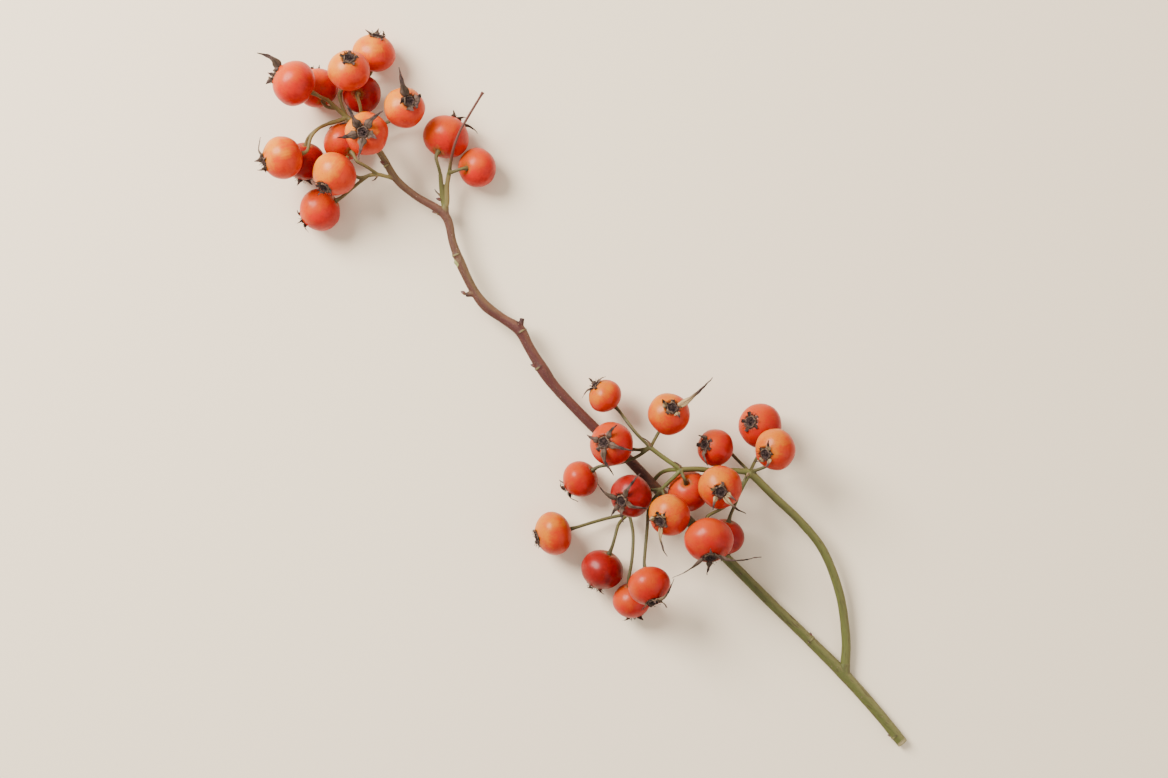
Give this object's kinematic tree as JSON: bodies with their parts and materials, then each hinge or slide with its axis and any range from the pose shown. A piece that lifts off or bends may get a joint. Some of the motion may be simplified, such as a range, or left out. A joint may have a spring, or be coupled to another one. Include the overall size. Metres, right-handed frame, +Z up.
{
  "type": "rose hip sprig",
  "caption": "Cut sprig of rose hips lying flat: a bent woody stem with stalks, round glossy hips in two clusters and dried sepals at their ends.",
  "frame": {"origin": "middle of the sprig's box, on the surface that it lies on", "axes": "+Z up from the surface, +Y towards the tip cluster's side along the longest extent, +X towards the cut end's side"},
  "size_m": [0.2531, 0.2804, 0.0407],
  "materials": {
    "red_hip": "smooth satin fruit skin, red",
    "orange_hip": "smooth satin fruit skin, orange with yellow patches",
    "crimson_hip": "smooth satin fruit skin, deep red",
    "dry_sepal": "dry, papery, dark brown with tan edges",
    "stem_bark": "thin smooth bark, red-brown to green",
    "green_stalk": "thin green to brown skin"
  },
  "bodies": {
    "root": {"upper_hip_01": "red_hip", "upper_hip_02": "red_hip", "upper_hip_03": "orange_hip", "upper_hip_04": "orange_hip", "upper_hip_05": "crimson_hip", "upper_hip_06": "orange_hip", "upper_hip_07": "orange_hip", "upper_hip_08": "red_hip", "upper_hip_09": "orange_hip", "upper_hip_10": "crimson_hip", "upper_hip_11": "orange_hip", "upper_hip_12": "red_hip", "upper_hip_13": "red_hip", "upper_hip_14": "red_hip", "lower_hip_01": "orange_hip", "lower_hip_02": "orange_hip", "lower_hip_03": "red_hip", "lower_hip_04": "red_hip", "lower_hip_05": "crimson_hip", "lower_hip_06": "orange_hip", "lower_hip_07": "crimson_hip", "lower_hip_08": "red_hip", "lower_hip_09": "red_hip", "lower_hip_10": "orange_hip", "lower_hip_11": "red_hip", "lower_hip_12": "orange_hip", "lower_hip_13": "red_hip", "lower_hip_14": "crimson_hip", "lower_hip_15": "red_hip", "lower_hip_16": "red_hip", "lower_hip_17": "orange_hip", "upper_calyx_01": "dry_sepal", "upper_calyx_02": "dry_sepal", "upper_calyx_04": "dry_sepal", "upper_calyx_06": "dry_sepal", "upper_calyx_07": "dry_sepal", "upper_calyx_09": "dry_sepal", "upper_calyx_10": "dry_sepal", "upper_calyx_11": "dry_sepal", "upper_calyx_12": "dry_sepal", "upper_calyx_13": "dry_sepal", "lower_calyx_01": "dry_sepal", "lower_calyx_02": "dry_sepal", "lower_calyx_03": "dry_sepal", "lower_calyx_04": "dry_sepal", "lower_calyx_05": "dry_sepal", "lower_calyx_07": "dry_sepal", "lower_calyx_08": "dry_sepal", "lower_calyx_09": "dry_sepal", "lower_calyx_10": "dry_sepal", "lower_calyx_12": "dry_sepal", "lower_calyx_13": "dry_sepal", "lower_calyx_15": "dry_sepal", "lower_calyx_17": "dry_sepal", "main_stem": "stem_bark", "tip_stalks": "green_stalk", "side_stalks": "green_stalk", "right_stalks": "green_stalk", "side_branch": "green_stalk"}
  },
  "joints": []
}
